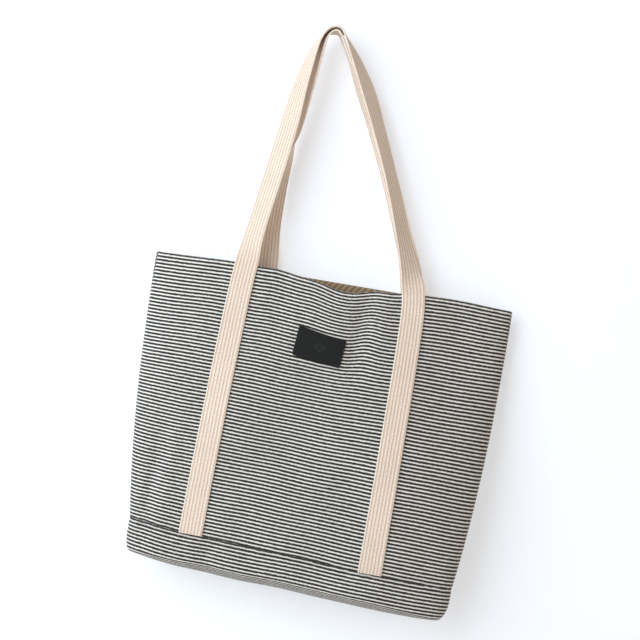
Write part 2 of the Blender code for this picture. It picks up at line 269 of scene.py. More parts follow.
def up_the_wall(side, x, z):
    """How far the cloth is raised or dropped in its own plane."""
    total = waves(x, z, SLOW_UP) * ease(-z / (60 * MM))
    down = ease(z / BASE_SEAM_Z)
    lean = mix(TOP_LEAN, BASE_LEAN, down) * x + BASE_LIFT * down
    if side == "front":
        fade = np.clip(1 - z / EDGE_FADES_AT, 0, None) ** 2
        edge = EDGE_LEVEL + sum(h * MM * np.exp(-(((x / MM - at) / w) ** 2)) for at, h, w in EDGE_WAVES)
        total = total + edge * fade
        total = total + hollow(x, z, (54, -62), (15, 46), 2.4) - hollow(x, z, (33, -66), (13, 46), 1.8)
    lower_left = ease((-x / MM - 120) / 90) * ease((z / MM + 300) / -80) * 3 * MM
    return total + lean + lower_left


def settle(side, points):
    """Moves points of the smooth wall to where the hanging cloth is."""
    points = np.array(points, float)
    x, z = points[..., 0].copy(), points[..., 2].copy()
    plan = section(z)
    edge = np.clip(np.abs(x - plan["centre"]) / plan["half"], 0, 1)
    free = 1 - ease((edge - 0.9) / 0.1)
    points[..., 1] += away(side) * out_of_wall(side, x, z) * free
    points[..., 2] += up_the_wall(side, x, z)
    return points


def skin(side, x, z):
    """The hanging cloth's outer surface at this X and this height down the cloth."""
    x, z = np.broadcast_arrays(np.asarray(x, float), np.asarray(z, float))
    plan = section(z)
    u = np.clip(np.abs(x - plan["centre"]) / plan["half"], 0, 0.9999)
    power = plan[side + "_power"]
    y = plan["seam_y"] + away(side) * plan[side] * (1 - u**power) ** (1 / power)
    return settle(side, np.stack([x, y, z], -1))


def skin_frame(side, x, z):
    """Point, direction to the right, direction up and outward normal of the skin."""
    step = 0.5 * MM
    point = skin(side, x, z)
    right = skin(side, np.asarray(x) + step, z) - skin(side, np.asarray(x) - step, z)
    up = skin(side, x, np.asarray(z) + step) - skin(side, x, np.asarray(z) - step)
    right, up = unit(right), unit(up)
    normal = np.cross(right, up)
    if side == "back":
        normal = -normal
    return point, right, up, unit(normal)


# ---- Mesh helpers -----------------------------------------------------------------------------
def grid_faces(rows, columns, wrap=False):
    faces = []
    for first in range(0, (rows - 1) * columns, columns):
        after = first + columns
        for c in range(columns if wrap else columns - 1):
            d = (c + 1) % columns
            faces.append((first + c, first + d, after + d, after + c))
    return faces


def make_piece(name, verts, faces, look, uvs=None):
    """A mesh object in the shared frame. verts are in the bag's axes and uvs one pair per vertex."""
    mesh = bpy.data.meshes.new(name)
    mesh.from_pydata([tuple(v) for v in to_frame(verts)], [], faces)
    if uvs is not None:
        layer = mesh.uv_layers.new(name="Cloth")
        corners = np.empty(len(mesh.loops), np.int32)
        mesh.loops.foreach_get("vertex_index", corners)
        layer.data.foreach_set("uv", np.asarray(uvs, np.float32)[corners].ravel())
    mesh.materials.append(look)
    obj = bpy.data.objects.new(name, mesh)
    bpy.context.scene.collection.objects.link(obj)
    mesh.shade_smooth()
    return obj


def face_outwards(obj):
    bm = bmesh.new()
    bm.from_mesh(obj.data)
    bmesh.ops.recalc_face_normals(bm, faces=bm.faces)
    bm.to_mesh(obj.data)
    bm.free()
    return obj


def cross_fold(obj):
    """Bakes the piece's placement into its mesh."""
    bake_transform(obj)


def thicken(obj, thickness, even=True):
    """Gives cloth its thickness, inwards from its outer face."""
    solid = obj.modifiers.new("Cloth thickness", "SOLIDIFY")
    solid.thickness = thickness
    solid.offset = -1.0
    solid.use_even_offset = even


# ---- Materials --------------------------------------------------------------------------------
class Nodes:
    """A short way to write a material's nodes."""

    def __init__(self, name, roughness, **constants):
        self.material = bpy.data.materials.new(name)
        self.material.use_nodes = True
        self.tree = self.material.node_tree
        self.shader = self.tree.nodes["Principled BSDF"]
        self.shader.inputs["Roughness"].default_value = roughness
        for socket, value in constants.items():
            self.shader.inputs[socket.replace("_", " ")].default_value = value

    def put(self, socket, value):
        if isinstance(value, bpy.types.NodeSocket):
            self.tree.links.new(value, socket)
        else:
            socket.default_value = value

    def math(self, operation, *values):
        node = self.tree.nodes.new("ShaderNodeMath")
        node.operation = operation
        for socket, value in zip(node.inputs, values):
            self.put(socket, value)
        return node.outputs[0]

    def cloth(self):
        """The cloth coordinates: metres across and metres along."""
        node = self.tree.nodes.new("ShaderNodeUVMap")
        node.uv_map = "Cloth"
        split = self.tree.nodes.new("ShaderNodeSeparateXYZ")
        self.tree.links.new(node.outputs[0], split.inputs[0])
        return node.outputs[0], split.outputs[0], split.outputs[1]

    def place(self):
        return self.tree.nodes.new("ShaderNodeTexCoord").outputs["Object"]

    def scaled(self, vector, factors):
        node = self.tree.nodes.new("ShaderNodeVectorMath")
        node.operation = "MULTIPLY"
        self.put(node.inputs[0], vector)
        node.inputs[1].default_value = factors
        return node.outputs[0]

    def noise(self, vector, scale, detail=2.0, roughness=0.5):
        node = self.tree.nodes.new("ShaderNodeTexNoise")
        self.put(node.inputs["Vector"], vector)
        node.inputs["Scale"].default_value = scale
        node.inputs["Detail"].default_value = detail
        node.inputs["Roughness"].default_value = roughness
        return node.outputs[0]

    def span(self, value, low, high):
        """From 0 to 1, smoothly, as the value goes from low to high."""
        node = self.tree.nodes.new("ShaderNodeMapRange")
        node.interpolation_type = "SMOOTHSTEP"
        for socket, number in zip(node.inputs, (value, low, high)):
            self.put(socket, number)
        return node.outputs[0]

    def wave(self, value, period, shift=0.0):
        """From 0 to 1 and back once every period."""
        turned = self.math("MULTIPLY_ADD", value, math.tau / period, shift)
        return self.math("MULTIPLY_ADD", self.math("SINE", turned), 0.5, 0.5)

    def blend(self, share, low, high, kind="MIX"):
        node = self.tree.nodes.new("ShaderNodeMix")
        node.data_type = "RGBA"
        node.blend_type = kind
        self.put(node.inputs[0], share)
        self.put(node.inputs[6], low)
        self.put(node.inputs[7], high)
        return node.outputs[2]

    def grey(self, value):
        node = self.tree.nodes.new("ShaderNodeCombineColor")
        for socket in node.inputs:
            self.put(socket, value)
        return node.outputs[0]

    def colour(self, value):
        self.put(self.shader.inputs["Base Color"], value)

    def rough(self, value):
        self.put(self.shader.inputs["Roughness"], value)

    def bump(self, height, distance, strength):
        node = self.tree.nodes.new("ShaderNodeBump")
        node.inputs["Strength"].default_value = strength
        node.inputs["Distance"].default_value = distance
        self.put(node.inputs["Height"], height)
        self.put(self.shader.inputs["Normal"], node.outputs[0])


def linear(red, green, blue):
    """A colour given as 0 to 255 on screen."""
    values = [c / 255 for c in (red, green, blue)]
    return tuple(c / 12.92 if c <= 0.04045 else ((c + 0.055) / 1.055) ** 2.4 for c in values) + (1.0,)


def canvas_material():
    """Weft-striped canvas: near-black and off-white bands of about four yarns each."""
    n = Nodes("striped_canvas", 0.9, Sheen_Weight=0.12, Sheen_Roughness=0.6, Specular_IOR_Level=0.25)
    uv, across, along = n.cloth()
    wander = n.noise(n.scaled(uv, (140, 55, 1)), 1.0, 2.0)
    fuzz = n.noise(n.scaled(uv, (2600, 900, 1)), 1.0, 1.0)
    ragged = n.noise(n.scaled(uv, (430, 300, 1)), 1.0, 1.0)
    shifted = n.math("MULTIPLY_ADD", n.math("SUBTRACT", wander, 0.5), 0.55 * MM, along)
    shifted = n.math("MULTIPLY_ADD", n.math("SUBTRACT", ragged, 0.5), 1.3 * MM, shifted)
    shifted = n.math("MULTIPLY_ADD", n.math("SUBTRACT", fuzz, 0.5), 0.7 * MM, shifted)
    band = n.wave(shifted, STRIPE)
    stripe = n.span(band, 0.52, 0.78)
    weft = n.wave(along, STRIPE / 8)
    warp = n.wave(n.math("MULTIPLY_ADD", n.math("SUBTRACT", wander, 0.5), 0.4 * MM, across), 0.62 * MM)
    over = n.math("MULTIPLY", weft, n.math("MULTIPLY_ADD", warp, 0.6, 0.4))
    flecks = n.noise(n.scaled(uv, (900, 2400, 1)), 1.0, 2.0, 0.6)
    light = n.blend(n.span(flecks, 0.3, 0.75), linear(218, 213, 206), linear(252, 249, 244))
    dark = n.blend(n.span(flecks, 0.4, 0.85), linear(40, 37, 37), linear(74, 69, 67))
    colour = n.blend(stripe, dark, light)
    shade = n.math("MULTIPLY_ADD", over, 0.22, 0.84)
    patchy = n.math("MULTIPLY_ADD", n.noise(n.place(), 9.0, 3.0), 0.22, 0.90)
    colour = n.blend(1.0, colour, n.grey(n.math("MULTIPLY", shade, patchy)), "MULTIPLY")
    n.colour(colour)
    n.rough(n.math("MULTIPLY_ADD", flecks, 0.12, 0.82))
    height = n.math("MULTIPLY_ADD", fuzz, 0.35, over)
    n.bump(height, 0.16 * MM, 0.85)
    return n.material


def webbing_material():
    """Ribbed cotton webbing: cream ribs with pinkish tan grooves and a fine slanting knit."""
    n = Nodes("webbing", 0.85, Sheen_Weight=0.18, Sheen_Roughness=0.55, Specular_IOR_Level=0.25)
    uv, across, along = n.cloth()
    pitch = WEB_WIDTH / RIBS
    wander = n.noise(n.scaled(uv, (260, 90, 1)), 1.0, 2.0)
    moved = n.math("MULTIPLY_ADD", n.math("SUBTRACT", wander, 0.5), 0.5 * MM, across)
    rib = n.wave(moved, pitch, math.pi * (RIBS % 2) + math.pi / 2)
    groove = n.span(rib, 0.46, 0.10)
    slant = n.math("ABSOLUTE", n.math("SINE", n.math("MULTIPLY", across, math.pi / pitch)))
    knit = n.wave(n.math("MULTIPLY_ADD", slant, 1.1 * MM, along), 1.5 * MM)
    yarn = n.noise(n.scaled(uv, (3000, 1200, 1)), 1.0, 2.0, 0.6)
    speckle = n.noise(n.scaled(uv, (700, 600, 1)), 1.0, 2.0, 0.7)
    cream = n.blend(n.span(speckle, 0.32, 0.68), linear(217, 199, 182), linear(241, 231, 219))
    tan = n.blend(n.span(speckle, 0.35, 0.75), linear(196, 160, 138), linear(228, 202, 184))
    colour = n.blend(groove, cream, tan)
    shade = n.math("MULTIPLY_ADD", knit, 0.10, 0.92)
    patchy = n.math("MULTIPLY_ADD", n.noise(n.place(), 30.0, 2.0), 0.12, 0.94)
    n.colour(n.blend(1.0, colour, n.grey(n.math("MULTIPLY", shade, patchy)), "MULTIPLY"))
    height = n.math("MULTIPLY_ADD", yarn, 0.4, knit)
    n.bump(height, 0.22 * MM, 0.6)
    return n.material


def lining_material():
    """Cotton in khaki browns that paint in shade: a paler cloth darkened to how it looks inside the bag. It
    has slanted darker ribs.
    """
    n = Nodes("lining_in_painted_shade", 0.88, Sheen_Weight=0.1, Specular_IOR_Level=0.25)
    uv, across, along = n.cloth()
    slant = n.math("MULTIPLY_ADD", along, -0.75, across)
    wander = n.noise(n.scaled(uv, (90, 90, 1)), 1.0, 2.0)
    slant = n.math("MULTIPLY_ADD", n.math("SUBTRACT", wander, 0.5), 1.0 * MM, slant)
    rib = n.span(n.wave(slant, 7.5 * MM), 0.15, 0.75)
    weave = n.math("MULTIPLY", n.wave(across, 0.7 * MM), n.wave(along, 0.7 * MM))
    # painted shade: these browns are a paler cloth's colour, darkened to how it looks inside the bag
    colour = n.blend(rib, linear(126, 106, 80), linear(162, 140, 114))
    shade = n.math("MULTIPLY_ADD", weave, 0.16, 0.88)
    patchy = n.math("MULTIPLY_ADD", n.noise(n.place(), 14.0, 3.0), 0.25, 0.88)
    n.colour(n.blend(1.0, colour, n.grey(n.math("MULTIPLY", shade, patchy)), "MULTIPLY"))
    n.bump(n.math("MULTIPLY_ADD", weave, 0.3, rib), 0.25 * MM, 0.7)
    return n.material


def leather_material():
    """Black grained leather with soft wear and a plain lozenge pressed into it, whose lines carry a painted
    sheen.
    """
    n = Nodes("black_leather", 0.55, Specular_IOR_Level=0.26)
    place = n.place()
    _, across, up = n.cloth()
    shares = [n.math("MULTIPLY", n.math("ABSOLUTE", v), 1 / half) for v, half in zip((across, up), LOZENGE)]
    lozenge = n.math("ADD", *shares)
    lines = [n.math("ABSOLUTE", n.math("SUBTRACT", lozenge, size)) for size in LOZENGE_LINES]
    pressed = n.span(n.math("MINIMUM", *lines), 0.13, 0.05)
    cells = n.tree.nodes.new("ShaderNodeTexVoronoi")
    n.put(cells.inputs["Vector"], place)
    cells.inputs["Scale"].default_value = 900.0
    grain = n.math("MULTIPLY_ADD", n.noise(place, 1500.0, 3.0), 0.6, cells.outputs["Distance"])
    clouds = n.noise(place, 60.0, 3.0)
    leather = n.blend(n.span(clouds, 0.35, 0.75), linear(7, 7, 8), linear(15, 15, 16))
    # painted sheen: the lozenge's pressed lines are lifted towards a lighter grey, as if they catch the
    # light
    n.colour(n.blend(n.math("MULTIPLY", pressed, 0.7), leather, linear(50, 50, 50)))
    n.rough(n.math("MULTIPLY_ADD", clouds, 0.2, 0.5))
    n.bump(grain, 0.10 * MM, 0.6)
    return n.material


def thread_material(name, red, green, blue):
    """Twisted sewing thread."""
    n = Nodes(name, 0.75, Sheen_Weight=0.2, Specular_IOR_Level=0.3)
    twist = n.noise(n.place(), 2500.0, 2.0)
    light, dark = linear(red, green, blue), linear(red * 0.8, green * 0.8, blue * 0.8)
    n.colour(n.blend(n.span(twist, 0.3, 0.7), dark, light))
    n.bump(twist, 0.05 * MM, 0.6)
    return n.material


CANVAS_LOOK = canvas_material()
WEB_LOOK = webbing_material()
LINING_LOOK = lining_material()
LEATHER_LOOK = leather_material()
DARK_THREAD = thread_material("charcoal_thread", 46, 46, 50)
CREAM_THREAD = thread_material("cream_thread", 238, 222, 204)
BLACK_THREAD = thread_material("black_thread", 18, 18, 19)


# ---- Canvas walls and lining ------------------------------------------------------------------
WALL_COLUMNS, WALL_ROWS = 190, 132
LINING_COLUMNS, LINING_ROWS = 120, 110
HEM_ROLL = ((1.5, -1.5), (1.45, -0.5), (1.0, 0.0), (0.5, 0.05), (0.1, -0.35))  # in and up, in mm
WALL_WIDTH = 0.450  # about the length of a wall's cloth from seam to seam


def side_groove(shares):
    """The cloth dips where it meets the side seam."""
    near = np.minimum(shares, 1 - shares) * WALL_WIDTH
    return 1.4 * MM * np.exp(-((near / (2.2 * MM)) ** 2))


def seam_tuck(distance):
    """The cloth draws in at the base seam."""
    return SEAM_TUCK * np.exp(-((distance / SEAM_TUCK_REACH) ** 2))


def seam_wander(run, distance):
    """How far the stripes stray beside the base seam, where the cloth puckers on its stitches."""
    stray = 0.25 * np.sin(run / (17 * MM)) + 0.2 * np.sin(run / (6.1 * MM) + 1)
    stray = stray + 0.2 * np.sin(run / (2.3 * MM))
    return stray * MM * np.exp(-((distance / (5 * MM)) ** 2))


def wall_sheet(side):
    """The canvas of one wall, from its turned-in top edge down to the base seam."""
    shares = np.linspace(0, 1, WALL_COLUMNS)
    shares = shares - 0.012 * np.sin(math.tau * shares)  # closer columns beside the side seams
    rows, uvs = [], []
    levels = [(inset * MM, z * MM) for inset, z in HEM_ROLL]
    levels += [(0.0, z) for z in np.linspace(-1.2 * MM, BASE_SEAM_Z, WALL_ROWS)]
    for inset, z in levels:
        row, run = wall_row(side, min(z, 0.0), shares, inset, inset * 3)
        row[:, 2] = z
        row[:, 1] -= away(side) * (seam_tuck(z - BASE_SEAM_Z) + side_groove(shares))
        rows.append(row)
        slip = (SEAM_STRIPES[0] + SEAM_STRIPES[1] * run) * ease(z / BASE_SEAM_Z)
        slip = slip - seam_wander(run, z - BASE_SEAM_Z)
        uvs.append(np.column_stack([run, (z if inset == 0 else -z) + slip]))
    grid = settle(side, np.array(rows))
    faces = grid_faces(len(rows), WALL_COLUMNS)
    if side == "front":
        faces = [f[::-1] for f in faces]
    name = f"{side}_canvas"
    obj = make_piece(name, grid.reshape(-1, 3), faces, CANVAS_LOOK, np.concatenate(uvs))
    thicken(obj, 0.8 * MM)
    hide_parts(f"{side}_panel_upper", f"{side}_panel_lower", f"{side}_top_hem")
    cross_fold(obj)


def lining_sheet(side):
    """The lining of one wall. It stands a little further from the canvas below the hem."""
    shares = np.linspace(0, 1, LINING_COLUMNS)
    rows, uvs = [], []
    for z in np.linspace(0.15 * MM, BASE_SEAM_Z, LINING_ROWS):
        row, run = wall_row(side, min(z, 0.0), shares, 0, 5 * MM)
        row[:, 1] -= away(side) * (1.55 * MM + 1.2 * MM * ease(-z / (12 * MM)))
        row[:, 2] = z
        rows.append(row)
        uvs.append(np.column_stack([run, np.full_like(run, z)]))
    grid = settle(side, np.array(rows))
    faces = grid_faces(len(rows), len(shares))
    if side == "back":
        faces = [f[::-1] for f in faces]
    obj = make_piece(f"{side}_lining", grid.reshape(-1, 3), faces, LINING_LOOK, np.concatenate(uvs))
    thicken(obj, 0.5 * MM)
    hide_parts(f"{side}_lining_upper", f"{side}_lining_lower")
    cross_fold(obj)


wall_sheet("front")
wall_sheet("back")
lining_sheet("front")
lining_sheet("back")


# ---- Boxed base -------------------------------------------------------------------------------
BOTTOM_EDGE = ((6 * MM, 52, 6), (33 * MM, 80, 10))  # length, the slope it reaches in degrees, steps


def bottom_edge():
    """Inwards and down round the bottom edge: a tight turn, then an underside that sags inwards."""
    points, angle = [(0.0, 0.0)], 0.0
    for length, last_angle, steps in BOTTOM_EDGE:
        turn = (math.radians(last_angle) - angle) / steps
        step = length / steps
        for _ in range(steps):
            angle += turn
            inwards, down = points[-1]
            points.append((inwards + step * math.sin(angle), down + step * math.cos(angle)))
    return points


def corner_pull(z):
    """How far the rounded lower corners draw in, at height z."""
    turned = np.clip((BASE_Z + BASE_ROUNDING - z) / BASE_ROUNDING, 0, 1)
    return BASE_ROUNDING * (1 - np.sqrt(1 - turned**2))


def base_strips(inset, side_inset, columns, look, name):
    """The base as one piece of cloth: down the front, under and up the back, in columns."""
    shares = np.linspace(0, 1, columns)
    edge = bottom_edge()
    # the turn shrinks towards the corners, where the wall runs straight down to the bottom
    middle = ease(np.minimum(shares, 1 - shares) / 0.28)
    size = mix(0.15, 1.0, middle)
    bottom = BASE_Z + inset + mix(3.0, -3.0, middle) * MM
    turn_z = bottom + edge[-1][1] * size
    narrower = 1 - inset / (BASE_DEPTH / 2)
    levels = [(mix(BASE_SEAM_Z, turn_z, share), 0 * size) for share in np.linspace(0, 1, 9)]
    levels += [(turn_z - down * size, inwards * size * narrower) for inwards, down in edge[1:]]
    halves, cloth = {}, {}
    for side in ("front", "back"):
        rows = []
        for z, pulled in levels:
            sides = tuple(side_inset + corner_pull(z - inset) * share for share in CORNER_PULL)
            row, run = wall_row(side, BASE_SEAM_Z, shares, inset + pulled, sides)
            row[:, 2] = z
            rows.append(row)
        rows = np.array(rows)
        middle_line = rows[-1] * (1, 0, 1) + (0, BACK_Y - BASE_DEPTH / 2, 0)
        steps = np.linalg.norm(np.diff(np.array([*rows, middle_line]), axis=0), axis=2)
        down = np.vstack([np.zeros(columns), np.cumsum(steps, axis=0)])
        along = BASE_SEAM_Z + BASE_STRIPES[0] + BASE_STRIPES[1] * run - down + seam_wander(run, down)
        cloth[side] = np.stack(np.broadcast_arrays(run, along), -1)
        beside = np.array([side_groove(shares) * (pulled == 0) for _, pulled in levels])
        rows[..., 1] -= away(side) * (seam_tuck(rows[..., 2] - BASE_SEAM_Z) + beside)
        halves[side] = settle(side, rows)
    front, back = halves["front"], halves["back"]
    grid = np.array([*front, mix(front[-1], back[-1], 0.5), *back[::-1]])
    uvs = np.concatenate([cloth["front"], cloth["back"][-2::-1]])
    faces = [f[::-1] for f in grid_faces(len(grid), columns)]
    obj = make_piece(name, grid.reshape(-1, 3), faces, look, uvs.reshape(-1, 2))
    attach(obj, LOWER)
    return obj


base_canvas = base_strips(0.0, 0.0, 170, CANVAS_LOOK, "base_canvas")
thicken(base_canvas, 0.9 * MM, even=False)
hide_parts("base_panel", "base_seam")
base_lining = base_strips(2.9 * MM, 6 * MM, 90, LINING_LOOK, "base_lining_cloth")
thicken(base_lining, 0.5 * MM, even=False)
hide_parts("base_lining")


# ---- Side seams -------------------------------------------------------------------------------
SEAM_PLAN = ((0.9, -0.45), (0.35, 0.0), (0.9, 0.45), (9.0, 0.45), (9.0, -0.45))  # in and back, in mm


def side_seam(side, sign):
    """The folded allowance inside the seam, just showing in the groove."""
    verts, uvs = [], []
    heights = np.linspace(-0.5 * MM, BASE_SEAM_Z + 1 * MM, 110)
    for z in heights:
        plan = section(z)
        edge = plan["centre"] + sign * plan["half"]
        for inwards, back in SEAM_PLAN:
            verts.append((edge - sign * inwards * MM, plan["seam_y"] + back * MM, z))
            uvs.append((inwards * MM, z + 1.3 * MM))
    verts = np.array(verts)
    verts[:, 2] += up_the_wall("back", verts[:, 0], verts[:, 2])
    corners = len(SEAM_PLAN)
    faces = grid_faces(len(heights), corners, wrap=True)
    faces += [tuple(range(corners)), tuple(range(len(verts) - corners, len(verts)))]
    obj = face_outwards(make_piece(f"{side}_side_seam", verts, faces, CANVAS_LOOK, uvs))
    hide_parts(f"{side}_side_seam_upper", f"{side}_side_seam_lower")
    cross_fold(obj)


side_seam("left", -1)
side_seam("right", 1)


# ---- Webbing ----------------------------------------------------------------------------------
def web_profile():
    """Across the webbing: (place across, height) round its whole outline, with a rib every pitch."""
    pitch = WEB_WIDTH / RIBS
    core = WEB_THICKNESS / 2 - RIB_HEIGHT
    across = np.linspace(-WEB_WIDTH / 2, WEB_WIDTH / 2, RIBS * 6 + 1)
    phase = np.abs(np.mod(across / pitch + RIBS / 2, 1.0) * 2 - 1)
    height = core + RIB_HEIGHT * (1 - phase**2.4)
    height[[0, -1]] = core * 0.35
    top = np.column_stack([across, height])
    return np.concatenate([top, np.column_stack([across[::-1], -height[::-1]])])


WEB_PROFILE = web_profile()


def web_mesh(name, middles, acrosses, outwards, start_run):
    """Webbing swept along its middle line, closed at both ends."""
    run = start_run + lengths_along(middles)
    w, h = WEB_PROFILE[:, 0], WEB_PROFILE[:, 1]
    verts = middles[:, None] + acrosses[:, None] * w[None, :, None] + outwards[:, None] * h[None, :, None]
    count = len(WEB_PROFILE)
    uvs = np.stack(np.broadcast_arrays(w[None], run[:, None]), -1)
    faces = grid_faces(len(middles), count, wrap=True)
    last = (len(middles) - 1) * count
    half = count // 2
    for start in (0, last):
        for k in range(half - 1):
            faces.append((start + k, start + k + 1, start + count - 2 - k, start + count - 1 - k))
    obj = face_outwards(make_piece(name, verts.reshape(-1, 3), faces, WEB_LOOK, uvs.reshape(-1, 2)))
    obj.data.set_sharp_from_angle(angle=math.radians(75))
    return obj


def wall_side(name):
    return "front" if name.startswith("front") else "back"


def sewn_line(name, heights):
    """Middle line, direction across and outward direction of a strap lying on its wall."""
    side = wall_side(name)
    x = strap_x(name, heights)
    _, right, _, normal = skin_frame(side, x, heights)
    flat = np.stack([skin(side, x + w * MM, heights) for w in (-13, 0, 13)]).mean(0)
    middles = flat + normal * (WEB_THICKNESS / 2 + WALL_TO_WEB)
    along = unit(np.gradient(middles, axis=0))
    acrosses = unit(right - along * np.sum(right * along, axis=1, keepdims=True))
    outwards = np.cross(acrosses, along)
    outwards *= np.sign(np.sum(outwards * normal, axis=1, keepdims=True))
    return middles, acrosses, outwards


def sewn_strap(name):
    """A strap from the base seam, where its end is tucked in, to where the handle piece starts."""
    heights = np.linspace(BASE_SEAM_Z + 0.4 * MM, SEWN_TOP_Z, 120)
    middles, acrosses, outwards = sewn_line(name, heights)
    tuck = np.exp(-((heights - BASE_SEAM_Z) / (2.5 * MM)))
    middles = middles - outwards * (0.7 * MM * tuck)[:, None]
    if wall_side(name) == "back":
        acrosses = -acrosses
    obj = web_mesh(f"{name}_strap", middles, acrosses, outwards, heights[0])
    wall, hand = name.split("_")
    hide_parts(f"{wall}_strap_{hand}_upper", f"{wall}_strap_{hand}_lower")
    cross_fold(obj)


def smooth_route(route, spacing):
    """A Catmull-Rom curve through the route, evenly spaced: X, Y and Z in metres, turn in radians."""
    knots = np.array(route, float)
    knots = np.vstack([2 * knots[0] - knots[1], knots, 2 * knots[-1] - knots[-2]])
    dense = []
    for i in range(1, len(knots) - 2):
        p, q, r, s = knots[i - 1 : i + 3]
        for t in np.linspace(0, 1, 40, endpoint=False):
            turn = 3 * (q - r) + s - p
            dense.append(q + 0.5 * t * (r - p + t * (2 * p - 5 * q + 4 * r - s + t * turn)))
    dense = np.array(dense + [knots[-2]])
    dense[:, :3] *= MM
    dense[:, 3] = np.radians(dense[:, 3])
    run = lengths_along(dense[:, :3])
    wanted = np.linspace(0, run[-1], int(run[-1] / spacing) + 1)
    return np.column_stack([np.interp(wanted, run, dense[:, k]) for k in range(4)])


def handle(name, route):
    """One handle, from the wall on the left, over the peg, to the wall on the right."""
    path = smooth_route(route, 2.2 * MM)
    middles = path[:, :3].copy()
    across = np.column_stack([np.cos(path[:, 3]), -np.sin(path[:, 3]), np.zeros(len(path))])
    run = lengths_along(middles)
    heights = np.linspace(SEWN_TOP_Z, -3 * MM, 6)
    ends = [sewn_line(f"{name}_{end}", heights) for end in ("left", "right")]
    for (sewn, sewn_across, _), near, at in ((ends[0], run, 0), (ends[1], run[-1] - run, -1)):
        # the sewn line, carried on up to the height where the route begins, is where it has to be
        rise = (middles[at][2] - sewn[-1][2]) / (sewn[-1][2] - sewn[-2][2])
        shift = sewn[-1] + (sewn[-1] - sewn[-2]) * rise - middles[at]
        middles += shift * (1 - ease(near / SEWN_TO_FREE))[:, None]
        sign = np.sign(np.dot(sewn_across[-1], across[at]))
        share = (1 - ease(near / SEWN_TO_FREE_TURN))[:, None]
        across = unit(mix(across, sewn_across[-1] * sign, share))
    middles = np.vstack([ends[0][0], middles, ends[1][0][::-1]])
    signs = [np.sign(np.dot(end[1][-1], across[at])) for end, at in zip(ends, (0, -1))]
    across = np.vstack([ends[0][1] * signs[0], across, ends[1][1][::-1] * signs[1]])
    along = unit(np.gradient(middles, axis=0))
    across = unit(across - along * np.sum(across * along, axis=1, keepdims=True))
    outwards = -np.cross(along, across)
    obj = web_mesh(f"{name}_handle_webbing", middles, across, outwards, SEWN_TOP_Z)
    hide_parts(f"{name}_handle")
    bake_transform(obj)


for strap in STRAPS:
    sewn_strap(strap)
handle("front", FRONT_ROUTE)
handle("rear", REAR_ROUTE)


# ---- Stitching --------------------------------------------------------------------------------
STITCH_SIDES = 6
STITCH_STATIONS = (  # along, width and height of one stitch, as shares of its length and radius
    (-0.5, 0.35, -0.9), (-0.36, 0.95, 0.15), (0.0, 1.0, 0.55), (0.36, 0.95, 0.15), (0.5, 0.35, -0.9),
)
STRAP_STITCH_OUT = 12.9 * MM  # from the strap's middle line


def stitch_mesh(name, rows, look, length, radius):
    """Small raised stitches. Each row gives their middles, directions and outward directions."""
    verts, faces = [], []
    ring = [(math.cos(a), math.sin(a)) for a in np.arange(STITCH_SIDES) * math.tau / STITCH_SIDES]
    for middles, alongs, outs in rows:
        for middle, along, out in zip(middles, alongs, outs):
            aside = np.cross(along, out)
            first = len(verts)
            for place, wide, high in STITCH_STATIONS:
                centre = middle + along * place * length + out * high * radius
                for c, s in ring:
                    verts.append(centre + (aside * c + out * s) * radius * wide)
            for face in grid_faces(len(STITCH_STATIONS), STITCH_SIDES, wrap=True):
                faces.append(tuple(first + i for i in face))
            last = len(verts) - STITCH_SIDES
            faces += [tuple(end + k for k in range(STITCH_SIDES)) for end in (first, last)]
    return face_outwards(make_piece(name, np.array(verts), faces, look))


def places(first, last, pitch):
    return np.arange(first + pitch / 2, last, pitch)


def strap_stitches(name):
    """Two rows up each strap, near its edges."""
    heights = places(BASE_SEAM_Z + 4 * MM, -9 * MM, 3.4 * MM)
    middles, acrosses, outwards = sewn_line(name, heights)
    along = unit(np.gradient(middles, axis=0))
    rows = []
    for sign in (-1, 1):
        edge = middles + acrosses * sign * STRAP_STITCH_OUT + outwards * (WEB_THICKNESS / 2 - 0.12 * MM)
        rows.append((edge, along, outwards))
    obj = stitch_mesh(f"{name}_strap_stitches", rows, CREAM_THREAD, 2.5 * MM, 0.24 * MM)
    cross_fold(obj)


def wall_stitches(name, side, z, body, x_limit):
    """A level row on a wall. It misses the straps."""
    x = places(-x_limit, x_limit, 3.0 * MM)
    for strap in STRAPS:
        if wall_side(strap) == side:
            x = x[np.abs(x - strap_x(strap, z)) > WEB_WIDTH / 2 + 1 * MM]
    point, right, _, normal = skin_frame(side, x, np.full_like(x, z))
    obj = stitch_mesh(name, [(point, right, normal)], DARK_THREAD, 2.2 * MM, 0.22 * MM)
    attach(obj, body)


for strap in STRAPS:
    strap_stitches(strap)
for wall in ("front", "back"):
    wall_stitches(f"{wall}_hem_stitches", wall, -6.2 * MM, UPPER, 0.214)
    wall_stitches(f"{wall}_base_stitches", wall, BASE_SEAM_Z - 3.4 * MM, LOWER, 0.186)


# ---- Leather label ----------------------------------------------------------------------------
def label_axes(along, up):
    """Places on the wall for places on the label, along and up from its centre in its own tilt."""
    c, s = math.cos(LABEL_TILT), math.sin(LABEL_TILT)
    return LABEL_CENTRE[0] + along * c + up * s, LABEL_CENTRE[1] - along * s + up * c


def bend_terms(along, up):
    """The leather is stiff: it bends only as a smooth shallow curve."""
    a, u = along / LABEL_SIZE[0], up / LABEL_SIZE[1]
    return np.stack([np.ones_like(a), a, u, a * a, a * u, u * u], -1)


def fit_label():
    """The shallow curve nearest the wall's, moved out until no part of the wall stands above it."""
    shares = np.linspace(-0.5, 0.5, 25), np.linspace(-0.5, 0.5, 17)
    along, up = np.meshgrid(*(share * size for share, size in zip(shares, LABEL_SIZE)))
    points = skin("front", *label_axes(along, up)).reshape(-1, 3)
    terms = bend_terms(along.ravel(), up.ravel())
    fit = np.linalg.lstsq(terms, points, rcond=None)[0]
    proud = (terms @ fit - points)[:, 1].max()
    fit[0, 1] -= max(proud, 0)
    return fit


LABEL_FIT = fit_label()


